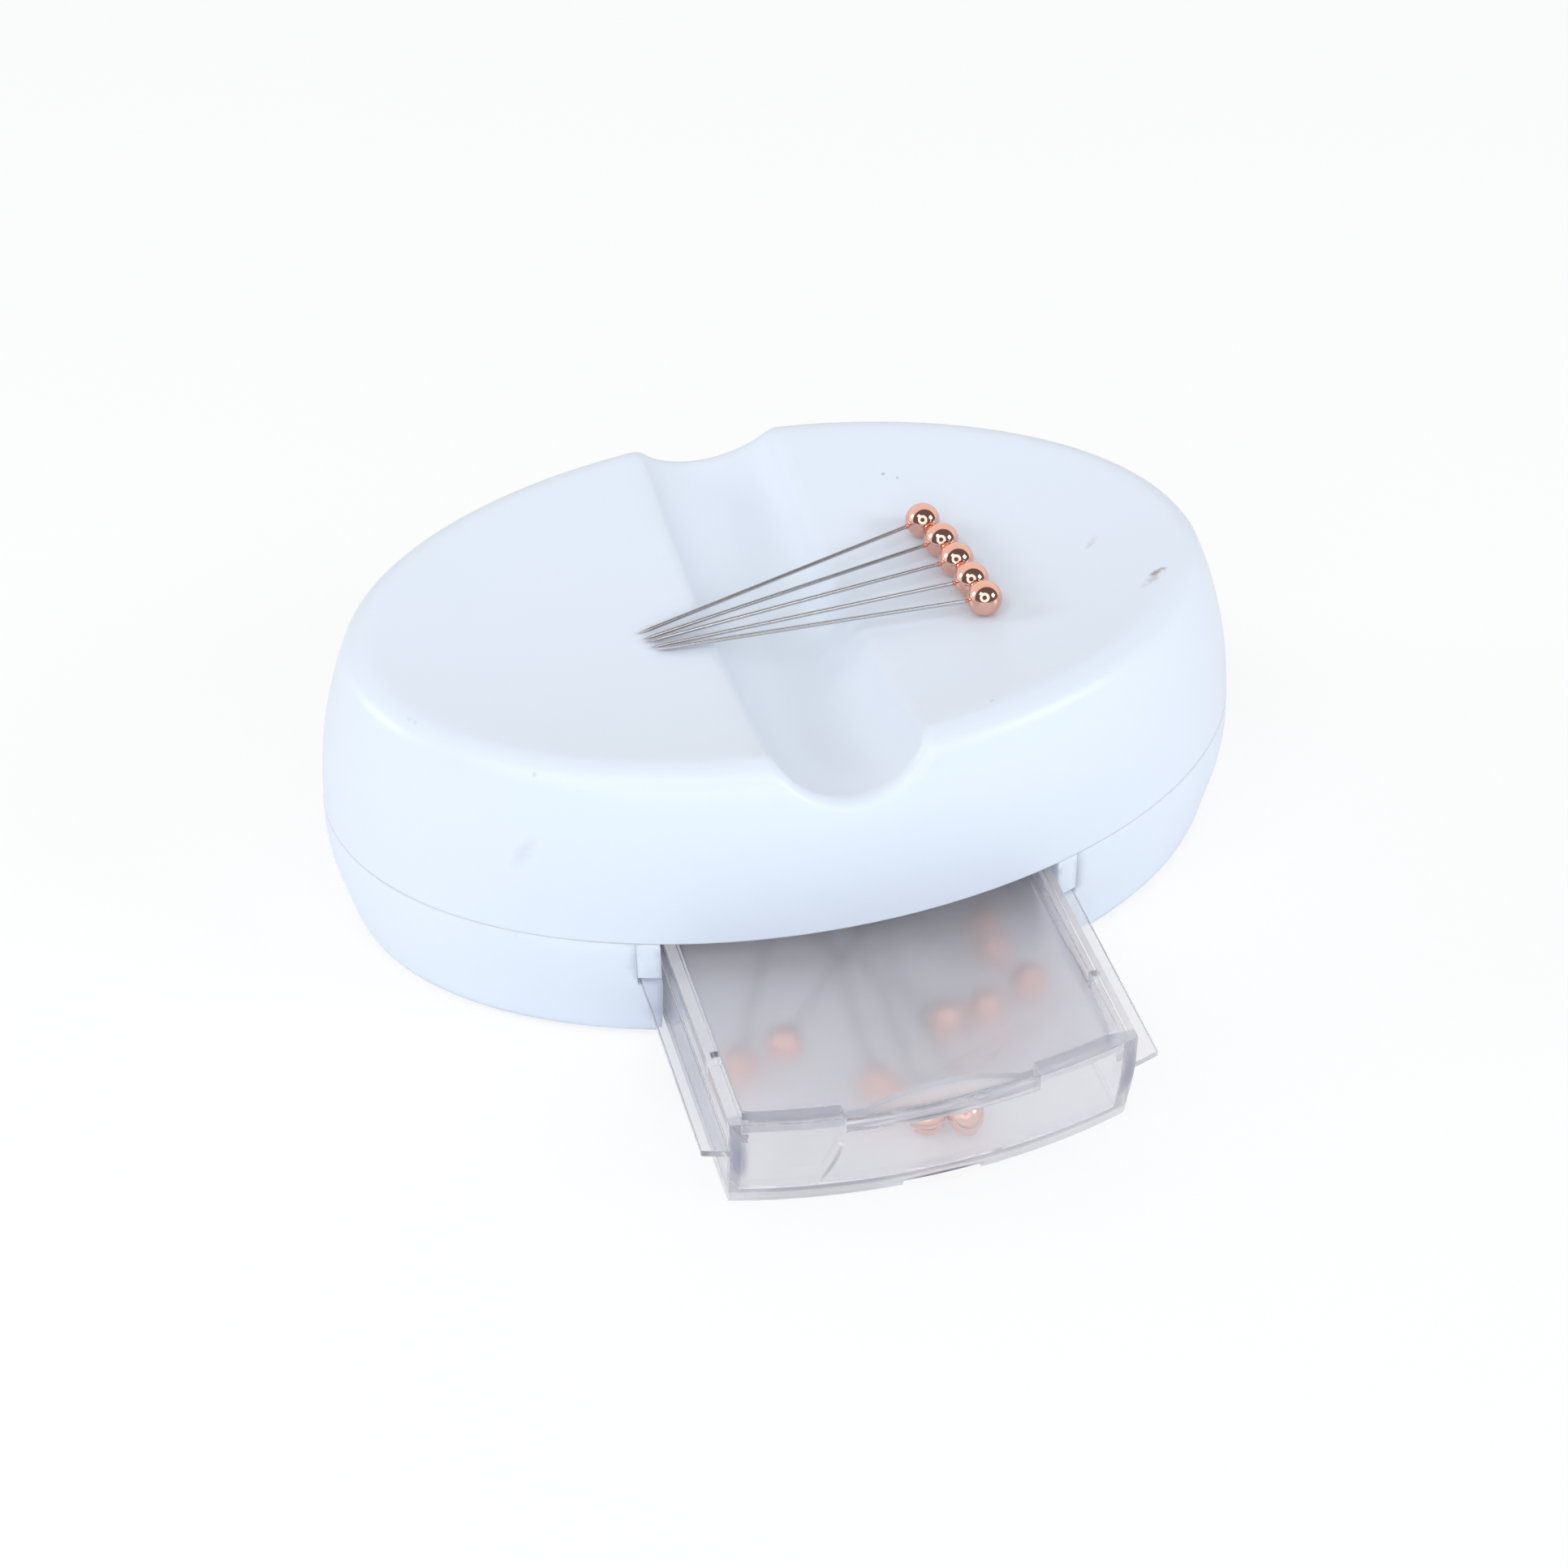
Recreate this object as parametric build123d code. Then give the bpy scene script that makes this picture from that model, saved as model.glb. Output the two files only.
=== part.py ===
from build123d import *
import math
import os

# Driving dimensions of the oval case, in millimetres
# X runs along the case, the drawer faces -Y, Z is up and z = 0 is the surface under the feet
case_length = 106.0
case_width = 70.0
foot_stand = 0.5
seam_height = 15.6
seam_gap = 0.15
widest_height = 11.2
loft_top = 39.4
base_tuck = 2.34
base_curve = 1.4
ring_heights = (foot_stand, 3.5, 7.0, widest_height, 15.0, 20.0, 25.0, 29.0, 32.5, 35.5, 37.5, loft_top)
base_edge_radius = 0.6
wall = 2.2
floor_thickness = 2.0
lip_height = 1.2
lip_thickness = 1.0
lip_gap = 0.1

# Rim of the case above its widest oval, at its ends and at its sides: how far it has drawn in
# at loft_top, and the power of its curve
end_rim = (7.0, 2.17)
side_rim = (5.9, 3.27)

# Driving dimensions of the dished top and the finger groove
dish_floor = 31.5
crest_corner_ends = 35.6
crest_corner_sides = 35.6
crest_inset = 6.4
crest_radius = 3.2
groove_at = -0.5
groove_radius = 8.9
groove_floor = 26.7
groove_sweep = 120.0
groove_edge_radius = 1.6

# Driving dimensions of the drawer bay
bay_half_width = 22.2
bay_back = 22.5
bay_wall = 2.1
slot_half_width = 24.8
slot_floor = 9.5
slot_roof = 10.6
slot_back = 21.1

# Driving dimensions of the drawer, drawn shut and then moved out to the photographed place
drawer_half_width = 21.7
drawer_back = 21.0
drawer_bottom = 0.8
drawer_top = 14.4
drawer_wall = 1.6
drawer_front_wall = 2.0
drawer_floor = 1.6
flange_half_width = 24.5
flange_bottom = 9.6
flange_top = 10.5
drawer_travel = 40.0
drawer_open = 25.8
notch_half_width = 10.2
notch_depth = 2.0
nail_recess_at = 0.6
nail_recess_radius = 4.6
nail_recess_setback = 1.6
nail_recess_depth = 0.9
lid_top = 13.1
lid_thickness = 1.2
lid_gap = 0.25
lid_ear_ys = (-22.0, 12.0)
lid_ear_width = 0.6
lid_ear_reach = 0.8
ear_slot_gap = 0.1
ledge_width = 0.7
ledge_thickness = 1.0
stop_lug_half_width = 5.0
stop_lug_rise = 0.8
thumb_scoop_at = 0.8
thumb_scoop_radius = 22.4
thumb_scoop_reach = 2.2
thumb_scoop_depth = 0.7

# Driving dimensions of the magnets and their carrier
magnet_x_range = (12.6, 40.4)
magnet_half_width = 11.0
magnet_bottom = 23.7
magnet_top = 28.7
magnet_edge = 0.4
pad_margin = 1.0
seat_height = 29.7
seat_margin = 0.4
carrier_thickness = 1.6
carrier_bar_size = (86.0, 24.3)
carrier_cross_size = (36.0, 42.0)
fence_gap = 0.15
fence_thickness = 1.0
fence_top = 25.4
fence_groove_gap = 0.3

# Driving dimensions of the pins
pin_length = 38.6
pin_head_diameter = 3.96
pin_shank_diameter = 0.5
pin_point_diameter = 0.1
pin_point_length = 1.6
pin_head_bore_depth = 2.6
head_clearance = 0.05
tip_clearance = 0.15
loose_clearance = 0.02

# Fasteners and feet: places for one quarter of the case, hole and post sizes
shell_screw_at = (35.0, 16.0)
shell_tower_diameter = 8.6
shell_tower_top = 8.0
shell_post_diameter = 6.5
shell_pilot_diameter = 2.5
shell_pilot_top = 16.0
shell_clearance_diameter = 3.4
shell_head_bore_diameter = 6.2
shell_head_seat = 4.4
shell_screw_head = (5.6, 2.0)
shell_screw_shank = 9.5
small_screw_head = (4.2, 1.6)
carrier_screw_shank = 6.0
frame_screw_shank = 8.0
frame_screw_x = 29.6
frame_screw_ys = (-7.0, 9.0)
frame_post_diameter = 5.6
frame_pilot_depth = 9.0
frame_ear_diameter = 6.4
frame_lift = 0.05
frame_thickness = 1.6
frame_half_width = 26.6
frame_back = 24.3
frame_fit = 0.3
leg_gap = 0.05
leg_bay_gap = 0.1
leg_seam_gap = 0.02
stop_rib_depth = 0.95
stop_rib_width = 12.0
stop_rib_thickness = 1.45
stop_gap = 0.05
carrier_screw_at = (14.0, 18.0)
carrier_post_diameter = 5.6
carrier_pilot_depth = 6.0
small_pilot_diameter = 1.9
small_clearance_diameter = 2.5
foot_diameter = 9.0
foot_recess_diameter = 9.3
foot_recess_depth = 1.2
foot_chamfer = 0.3
post_hole_gap = 0.3

half_length = case_length / 2
half_width = case_width / 2
reach = 80.0
overlap = 0.5


def inset_at(z, rim_tuck, rim_curve):
    """How far the case has drawn in from its widest oval at height z."""
    if z < widest_height:
        return base_tuck * ((widest_height - z) / widest_height) ** base_curve
    return rim_tuck * ((z - widest_height) / (loft_top - widest_height)) ** rim_curve


def oval_block(extra=0.0):
    """The case's outer form, drawn in all round by a further amount."""
    rings = []
    for z in ring_heights:
        end_inset = inset_at(z, *end_rim) + extra
        side_inset = inset_at(z, *side_rim) + extra
        rings.append(Pos(0, 0, z) * Ellipse(half_length - end_inset, half_width - side_inset))
    return loft(rings)


def box(x_range, y_range, z_range):
    """A block between two corners."""
    x0, x1 = x_range
    y0, y1 = y_range
    z0, z1 = z_range
    middle = Pos((x0 + x1) / 2, (y0 + y1) / 2, (z0 + z1) / 2)
    return middle * Box(x1 - x0, y1 - y0, z1 - z0)


def slab(z0, z1):
    """All the space between two heights."""
    return box((-reach, reach), (-reach, reach), (z0, z1))


def bay_block(half, back, z0, z1):
    """The space of the drawer bay, open at the front, out to a half width and a back."""
    return box((-half, half), (-reach, back), (z0, z1))


def post(x, y, diameter, z0, z1):
    """An upright round bar."""
    return Pos(x, y, (z0 + z1) / 2) * Cylinder(diameter / 2, z1 - z0)


def quarters(place):
    """The four mirrored places of a quarter place."""
    x, y = place
    return [(x, y), (-x, y), (x, -y), (-x, -y)]


def both_sides(shape):
    """A shape with its mirror image across the YZ plane."""
    return [shape, mirror(shape, Plane.YZ)]


def radius_of_arc(half_chord, rise):
    """Radius of the arc that rises this much over half its chord."""
    return (half_chord ** 2 + rise ** 2) / (2 * rise)


def arc_depth(radius, offset):
    """Depth of an arc of this radius at an offset from its pole."""
    return radius - math.sqrt(radius ** 2 - offset ** 2)


dish_radius_x = radius_of_arc(half_length - crest_inset, crest_corner_ends - dish_floor)
dish_radius_y = radius_of_arc(half_width - crest_inset, crest_corner_sides - dish_floor)
dish_axis = dish_floor + dish_radius_y


def dish_height(x, y):
    """Height of the dished top at a place in plan."""
    line = dish_floor + arc_depth(dish_radius_x, x)
    return dish_axis - math.sqrt((dish_axis - line) ** 2 - y ** 2)


def above_dish(drop=0.0):
    """All the space above the dished top, or above a surface that lies lower by drop."""
    edge_height = dish_floor + arc_depth(dish_radius_x, reach)
    roof = dish_axis - 5.0
    with BuildSketch(Plane.XZ) as section:
        with BuildLine():
            ThreePointArc((-reach, edge_height), (0, dish_floor), (reach, edge_height))
            Polyline((reach, edge_height), (reach, roof), (-reach, roof), (-reach, edge_height))
        make_face()
    turned = revolve(section.sketch, axis=Axis((0, 0, dish_axis), (1, 0, 0)))
    return Pos(0, 0, -drop) * turned


def groove_channel(grow=0.0):
    """The round-bottomed finger groove, which runs front to back and rises to both rims."""
    radius = groove_radius + grow
    centre = groove_floor + groove_radius
    with BuildSketch(Plane.XZ) as section:
        with Locations((groove_at, centre)):
            Circle(radius)
        with Locations((groove_at, centre + radius)):
            Rectangle(2 * radius, 2 * radius)
    return revolve(section.sketch, axis=Axis((0, 0, groove_floor + groove_sweep), (1, 0, 0)))


def screw(x, y, head_bottom, head_diameter, head_height, shank_diameter, shank_length):
    """A pan-head screw that points up, with its cross recess underneath."""
    head_top = head_bottom + head_height
    body = post(x, y, head_diameter, head_bottom, head_top)
    body += post(x, y, shank_diameter, head_top, head_top + shank_length)
    recess_width = head_diameter * 0.16
    recess_length = head_diameter * 0.6
    recess_depth = head_height * 0.5
    recess = Box(recess_length, recess_width, 2 * recess_depth)
    recess += Box(recess_width, recess_length, 2 * recess_depth)
    return body - Pos(x, y, head_bottom) * recess


outer_form = oval_block()
inner_form = oval_block(wall)
lip_top = seam_height + lip_height
bay_outer = slot_half_width + bay_wall
foot_recess_top = foot_stand + foot_recess_depth

# Lower shell: two floored lobes, one each side of the drawer bay, joined by the back wall
lower_shell = outer_form & slab(0, seam_height)
base_edge = lower_shell.edges().group_by(Axis.Z)[0]
lower_shell = fillet(base_edge, base_edge_radius)
lower_shell += oval_block(wall - lip_thickness) & slab(seam_height - 1, lip_top)
lobe_space = inner_form & slab(foot_stand + floor_thickness, lip_top + 1)
lower_shell -= lobe_space - bay_block(bay_outer, bay_back + bay_wall, 0, lip_top + 2)
lower_shell -= bay_block(bay_half_width, bay_back, -1, lip_top + 1)
lower_shell -= bay_block(slot_half_width, slot_back, slot_floor, lip_top + 1)
lower_shell -= bay_block(bay_outer + overlap, bay_back + bay_wall + overlap, seam_height, lip_top + 1)
for x, y in quarters(shell_screw_at):
    lower_shell += post(x, y, shell_tower_diameter, foot_stand + overlap, shell_tower_top)
    lower_shell -= post(x, y, shell_clearance_diameter, 0, shell_tower_top + 1)
    lower_shell -= post(x, y, shell_head_bore_diameter, 0, shell_head_seat)
    lower_shell -= post(x, y, foot_recess_diameter, 0, foot_recess_top)
for side in (-1, 1):
    for y in frame_screw_ys:
        x = side * frame_screw_x
        lower_shell += post(x, y, frame_post_diameter, foot_stand + overlap, seam_height)
        lower_shell -= post(x, y, small_pilot_diameter, seam_height - frame_pilot_depth, seam_height + 1)

# Upper shell: the dished top with its rim and groove, with posts and magnet seats underneath
upper_shell = outer_form & slab(seam_height + seam_gap, loft_top + 1)
upper_shell -= above_dish()
crest_edges = [edge for edge in upper_shell.edges() if edge.bounding_box().min.Z > dish_floor]
upper_shell = fillet(crest_edges, crest_radius)
upper_shell -= groove_channel()
groove_edges = []
for edge in upper_shell.edges():
    extent = edge.bounding_box()
    widest = max(abs(extent.min.X), abs(extent.max.X))
    if extent.min.Z > seam_height + 1 and widest < groove_radius + 1:
        groove_edges.append(edge)
upper_shell = fillet(groove_edges, groove_edge_radius)
hollow = inner_form & slab(seam_height - 1, loft_top)
hollow -= above_dish(wall)
hollow -= groove_channel(wall)
seat = box(
    (magnet_x_range[0] - seat_margin, magnet_x_range[1] + seat_margin),
    (-magnet_half_width - seat_margin, magnet_half_width + seat_margin),
    (seat_height, loft_top),
)
for shape in both_sides(seat):
    hollow -= shape
upper_shell -= hollow
rabbet = oval_block(wall - lip_thickness - lip_gap) & slab(seam_height - 1, lip_top + 2 * lip_gap)
rabbet -= bay_block(bay_outer, 0, 0, lip_top + 1)
upper_shell -= rabbet
post_limit = (oval_block(wall / 2) - above_dish(wall / 2)) - groove_channel(wall / 2)
carrier_bottom = magnet_bottom - carrier_thickness
for x, y in quarters(shell_screw_at):
    upper_shell += post(x, y, shell_post_diameter, shell_tower_top, loft_top) & post_limit
    upper_shell -= post(x, y, shell_pilot_diameter, 0, shell_pilot_top)
for x, y in quarters(carrier_screw_at):
    upper_shell += post(x, y, carrier_post_diameter, magnet_bottom, loft_top) & post_limit
    upper_shell -= post(x, y, small_pilot_diameter, 0, magnet_bottom + carrier_pilot_depth)

# Drawer frame: the ceiling of the bay, whose two legs close the slots above the drawer's rails
frame_bottom = seam_height + frame_lift
frame_top = frame_bottom + frame_thickness
frame_form = oval_block(wall + frame_fit)
drawer_back_inside = drawer_back - drawer_wall
stop_face = drawer_back_inside - drawer_travel
drawer_frame = frame_form & bay_block(frame_half_width, frame_back, frame_bottom, frame_top)
leg = box(
    (bay_half_width + leg_bay_gap, slot_half_width - leg_gap),
    (-reach, slot_back),
    (slot_roof, frame_bottom + overlap),
)
leg_front = leg & outer_form & slab(0, seam_height - leg_seam_gap)
leg_rear = leg & frame_form
for shape in both_sides(leg_front + leg_rear):
    drawer_frame += shape
drawer_frame += box(
    (-stop_rib_width / 2, stop_rib_width / 2),
    (stop_face - stop_gap - stop_rib_thickness, stop_face - stop_gap),
    (frame_bottom - stop_rib_depth, frame_bottom + overlap),
)
for side in (-1, 1):
    for y in frame_screw_ys:
        x = side * frame_screw_x
        ear = post(x, y, frame_ear_diameter, frame_bottom, frame_top)
        ear += box(
            sorted((x, side * slot_half_width)),
            (y - frame_ear_diameter / 2, y + frame_ear_diameter / 2),
            (frame_bottom, frame_top),
        )
        drawer_frame += ear
        drawer_frame -= post(x, y, small_clearance_diameter, frame_bottom - 1, frame_top + 1)

# Magnet carrier: the plate that holds both magnets up against the dish
magnet_carrier = None
for length, width in (carrier_bar_size, carrier_cross_size):
    plate = box((-length / 2, length / 2), (-width / 2, width / 2), (carrier_bottom, magnet_bottom))
    magnet_carrier = plate if magnet_carrier is None else magnet_carrier + plate
inside_fence = fence_gap
outside_fence = fence_gap + fence_thickness
fence = box(
    (magnet_x_range[0] - outside_fence, magnet_x_range[1] + outside_fence),
    (-magnet_half_width - outside_fence, magnet_half_width + outside_fence),
    (carrier_bottom, fence_top),
)
fence -= box(
    (magnet_x_range[0] - inside_fence, magnet_x_range[1] + inside_fence),
    (-magnet_half_width - inside_fence, magnet_half_width + inside_fence),
    (carrier_bottom - 1, fence_top + 1),
)
fence -= groove_channel(wall + fence_groove_gap)
for shape in both_sides(fence):
    magnet_carrier += shape
for x, y in quarters(carrier_screw_at):
    magnet_carrier -= post(x, y, small_clearance_diameter, carrier_bottom - 1, magnet_bottom + 1)
for x, y in quarters(shell_screw_at):
    post_hole_diameter = shell_post_diameter + 2 * post_hole_gap
    magnet_carrier -= post(x, y, post_hole_diameter, carrier_bottom - 1, fence_top + 1)

# Ferrite magnets and the foam pads that press them to the seats
magnet_right = box(magnet_x_range, (-magnet_half_width, magnet_half_width), (magnet_bottom, magnet_top))
magnet_right = chamfer(magnet_right.edges(), magnet_edge)
magnet_pad_right = box(
    (magnet_x_range[0] + pad_margin, magnet_x_range[1] - pad_margin),
    (-magnet_half_width + pad_margin, magnet_half_width - pad_margin),
    (magnet_top, seat_height),
)
magnet_left = mirror(magnet_right, Plane.YZ)
magnet_pad_left = mirror(magnet_pad_right, Plane.YZ)

# Screws of the shells, the frame and the carrier
shell_screws = []
for x, y in quarters(shell_screw_at):
    head_diameter, head_height = shell_screw_head
    head_bottom = shell_head_seat - head_height
    shell_screws.append(
        screw(x, y, head_bottom, head_diameter, head_height, shell_pilot_diameter, shell_screw_shank)
    )
head_diameter, head_height = small_screw_head
carrier_screws = []
for x, y in quarters(carrier_screw_at):
    head_bottom = carrier_bottom - head_height
    carrier_screws.append(
        screw(x, y, head_bottom, head_diameter, head_height, small_pilot_diameter, carrier_screw_shank)
    )
frame_screws = []
for side in (-1, 1):
    for y in frame_screw_ys:
        upright = screw(0, 0, 0, head_diameter, head_height, small_pilot_diameter, frame_screw_shank)
        flipped = Rot(180, 0, 0) * upright
        frame_screws.append(Pos(side * frame_screw_x, y, frame_top + head_height) * flipped)

# Rubber feet in the recesses over the shell screws
feet = []
for x, y in quarters(shell_screw_at):
    foot = post(x, y, foot_diameter, 0, foot_recess_top)
    feet.append(chamfer(foot.edges().group_by(Axis.Z)[0], foot_chamfer))

# Drawer tray: a clear box whose front is part of the oval, hung from two side rails
inside_half = drawer_half_width - drawer_wall
drawer_inside_floor = drawer_bottom + drawer_floor
ledge_top = lid_top - lid_thickness
drawer_limit = outer_form & bay_block(reach, drawer_back, drawer_bottom, drawer_top)
drawer_tray = drawer_limit & bay_block(drawer_half_width, reach, 0, drawer_top)
tray_space = bay_block(inside_half, drawer_back_inside, drawer_inside_floor, drawer_top + 1)
drawer_tray -= oval_block(drawer_front_wall) & tray_space
rail = box(
    (drawer_half_width - overlap, flange_half_width),
    (-reach, drawer_back),
    (flange_bottom, flange_top),
)
for shape in both_sides(rail & drawer_limit):
    drawer_tray += shape
drawer_tray -= box(
    (-notch_half_width, notch_half_width),
    (-reach, -drawer_back),
    (drawer_top - notch_depth, drawer_top + 1),
)
nail_recess_y = inset_at(drawer_bottom, *side_rim) - half_width - nail_recess_setback
drawer_tray -= post(
    nail_recess_at,
    nail_recess_y,
    2 * nail_recess_radius,
    0,
    drawer_bottom + nail_recess_depth,
)
ledge = box(
    (inside_half - ledge_width, inside_half + overlap),
    (-reach, drawer_back_inside),
    (ledge_top - ledge_thickness, ledge_top),
)
ledge &= oval_block(drawer_front_wall - overlap)
for shape in both_sides(ledge):
    drawer_tray += shape
for y in lid_ear_ys:
    ear_slot = box(
        (inside_half - ear_slot_gap, inside_half + lid_ear_reach + ear_slot_gap),
        (y - lid_ear_width / 2 - ear_slot_gap, y + lid_ear_width / 2 + ear_slot_gap),
        (ledge_top, drawer_top + 1),
    )
    for shape in both_sides(ear_slot):
        drawer_tray -= shape
drawer_tray += box(
    (-stop_lug_half_width, stop_lug_half_width),
    (drawer_back_inside, drawer_back),
    (drawer_top - overlap, drawer_top + stop_lug_rise),
)

# Drawer lid: a frosted panel that snaps in below the tops of the tray's walls
lid_half_width = inside_half - lid_gap
lid_block = bay_block(lid_half_width, drawer_back_inside - lid_gap, ledge_top, lid_top)
drawer_lid = oval_block(drawer_front_wall + lid_gap) & lid_block
thumb_scoop_y = drawer_front_wall + thumb_scoop_reach - thumb_scoop_radius - half_width
scoop_floor = lid_top - thumb_scoop_depth
drawer_lid -= post(thumb_scoop_at, thumb_scoop_y, 2 * thumb_scoop_radius, scoop_floor, drawer_top)
for y in lid_ear_ys:
    ear = box(
        (lid_half_width - overlap, inside_half + lid_ear_reach),
        (y - lid_ear_width / 2, y + lid_ear_width / 2),
        (ledge_top, lid_top),
    )
    for shape in both_sides(ear):
        drawer_lid += shape

pin_run = pin_length - pin_head_diameter / 2


def pin(head_centre, tip):
    """A ball-headed pin between the middle of its head and its tip, as shank and head."""
    start = Vector(*head_centre)
    end = Vector(*tip)
    radius = pin_shank_diameter / 2
    bore_start = pin_head_diameter / 2 - pin_head_bore_depth
    straight = pin_run - pin_point_length - bore_start
    shank = Pos(0, 0, bore_start + straight / 2) * Cylinder(radius, straight)
    point = Cone(radius, pin_point_diameter / 2, pin_point_length)
    shank += Pos(0, 0, pin_run - pin_point_length / 2) * point
    bore = Pos(0, 0, bore_start + pin_head_diameter) * Cylinder(radius, 2 * pin_head_diameter)
    head = Sphere(pin_head_diameter / 2) - bore
    place = Plane(origin=start, z_dir=(end - start).normalized())
    return place * shank, place * head


# Five pins laid over the groove, as (head x, head y, heading in degrees)
pins_on_top = (
    (19.29, 8.14, 193.3),
    (20.22, 4.13, 188.7),
    (20.71, 0.13, 183.1),
    (21.08, -4.03, 178.5),
    (21.29, -8.03, 173.0),
)
top_pins = []
for x, y, heading in pins_on_top:
    turn = math.radians(heading)
    tip_x = x + pin_run * math.cos(turn)
    tip_y = y + pin_run * math.sin(turn)
    head_z = dish_height(x, y) + pin_head_diameter / 2 + head_clearance
    tip_z = dish_height(tip_x, tip_y) + pin_shank_diameter / 2 + tip_clearance
    top_pins.append(pin((x, y, head_z), (tip_x, tip_y, tip_z)))

# Loose pins in the drawer, as (head x, head y, layer, heading in degrees) with the drawer pulled out
layer_height = 0.68
loose_pins = (
    (0.5, -52.75, 0, 88.0),
    (4.42, -53.5, 0, 91.0),
    (-16.5, -41.4, 0, 66.0),
    (-11.6, -41.4, 3, 48.0),
    (-3.3, -48.2, 0, 87.0),
    (6.2, -42.3, 2, 123.0),
    (11.1, -41.3, 1, 145.0),
    (14.75, -32.7, 1, 147.0),
    (15.1, -28.6, 1, 147.0),
    (16.6, -39.4, 2, 132.0),
)
loose_shanks = []
loose_heads = []
for x, y, layer, heading in loose_pins:
    turn = math.radians(heading)
    z = drawer_inside_floor + pin_head_diameter / 2 + loose_clearance + layer * layer_height
    tip = (x + pin_run * math.cos(turn), y + pin_run * math.sin(turn), z)
    shank, head = pin((x, y, z), tip)
    loose_shanks.append(shank)
    loose_heads.append(head)

pulled_out = Pos(0, -drawer_open, 0)
nodes = {
    "upper_shell": upper_shell,
    "lower_shell": lower_shell,
    "drawer_frame": drawer_frame,
    "magnet_carrier": magnet_carrier,
    "magnet_left": magnet_left,
    "magnet_right": magnet_right,
    "magnet_pad_left": magnet_pad_left,
    "magnet_pad_right": magnet_pad_right,
    "shell_screws": Compound(children=shell_screws),
    "frame_screws": Compound(children=frame_screws),
    "carrier_screws": Compound(children=carrier_screws),
    "drawer_tray": pulled_out * drawer_tray,
    "drawer_lid": pulled_out * drawer_lid,
    "drawer_pin_shanks": Compound(children=loose_shanks),
    "drawer_pin_heads": Compound(children=loose_heads),
}
for number, foot in enumerate(feet, start=1):
    nodes[f"rubber_foot_{number}"] = foot
for number, (shank, head) in enumerate(top_pins, start=1):
    nodes[f"pin_{number}_shank"] = shank
    nodes[f"pin_{number}_head"] = head

os.makedirs("parts", exist_ok=True)
for name, shape in nodes.items():
    export_step(shape, f"parts/{name}.step")
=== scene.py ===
import math
import bpy
from mathutils import Matrix, Vector


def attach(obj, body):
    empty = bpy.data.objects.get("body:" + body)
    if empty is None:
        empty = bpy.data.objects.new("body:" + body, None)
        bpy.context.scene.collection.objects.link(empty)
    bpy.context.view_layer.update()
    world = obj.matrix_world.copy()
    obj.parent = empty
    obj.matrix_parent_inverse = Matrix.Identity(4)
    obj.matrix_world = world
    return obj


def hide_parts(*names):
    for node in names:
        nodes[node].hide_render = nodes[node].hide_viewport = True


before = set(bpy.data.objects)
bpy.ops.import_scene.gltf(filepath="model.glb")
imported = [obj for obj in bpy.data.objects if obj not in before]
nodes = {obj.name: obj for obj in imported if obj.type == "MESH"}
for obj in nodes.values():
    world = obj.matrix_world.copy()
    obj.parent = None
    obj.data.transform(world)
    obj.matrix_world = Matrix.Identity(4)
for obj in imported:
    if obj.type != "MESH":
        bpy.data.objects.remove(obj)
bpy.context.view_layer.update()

MM = 0.001

# Camera: a long lens left of the drawer's front, looking down on the dish.
# Its place was worked out from the ovals of the case and the corners of the drawer.
camera_place = Vector((-67.44, -253.9, 232.23)) * MM
azimuth = math.radians(14.893)
elevation = math.radians(40.693)
roll = math.radians(-1.273)
camera_data = bpy.data.cameras.new("camera")
camera_data.lens = 67.95
camera_data.sensor_width = 36.0
camera_data.clip_start = 0.01
camera_data.clip_end = 20.0
camera = bpy.data.objects.new("camera", camera_data)
bpy.context.scene.collection.objects.link(camera)
bpy.context.scene.camera = camera
back = Vector((
    -math.sin(azimuth) * math.cos(elevation),
    -math.cos(azimuth) * math.cos(elevation),
    math.sin(elevation),
))
level_right = Vector((math.cos(azimuth), -math.sin(azimuth), 0.0))
level_up = back.cross(level_right)
right = math.cos(roll) * level_right + math.sin(roll) * level_up
up = -math.sin(roll) * level_right + math.cos(roll) * level_up
camera.matrix_world = Matrix((
    (right.x, up.x, back.x, camera_place.x),
    (right.y, up.y, back.y, camera_place.y),
    (right.z, up.z, back.z, camera_place.z),
    (0.0, 0.0, 0.0, 1.0),
))
bpy.context.scene.view_settings.view_transform = "Standard"
# Enough bounces for light to get through the drawer's walls, its lid and out again.
light_paths = bpy.context.scene.cycles
light_paths.max_bounces = 24
light_paths.glossy_bounces = 20
light_paths.transmission_bounces = 20
light_paths.transparent_max_bounces = 32

# Studio: an even white light tent with two softboxes and a lamp above. Polished metal mirrors
# more of it: a white sweep behind the table, a dim room, and a ring lamp round the lens.
tent_light = 0.55
sweep_light = 1.0
dim_room_light = 0.16
sweep_slope = 0.55
sweep_edge = (-0.22, -0.14)
horizon_edge = (0.02, 0.10)
front_edge = (-0.1, 0.6)
overhead_tint = (1.02, 1.0, 0.975, 1.0)
front_tint = (0.93, 1.0, 1.08, 1.0)
pure_white = (1.0, 1.0, 1.0, 1.0)
looked_at = Vector((-2.7, -10.3, 15.5)) * MM
lamp_distance = 1.1
# Each lamp: its name, the way to it from the case, its size and its power.
lamps = (
    ("softbox_left", (-0.85, 0.35, 0.38), 0.34, 2.3),
    ("softbox_right", (0.70, -0.48, 0.52), 0.34, 2.7),
    ("lamp_above", (-0.48, -0.25, 0.84), 0.30, 1.3),
)
ring_distance = 0.37
ring_outside = 0.22
ring_inside = 0.10
ring_strength = 2.0
ring_tint = (0.94, 1.0, 1.05, 1.0)


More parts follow.
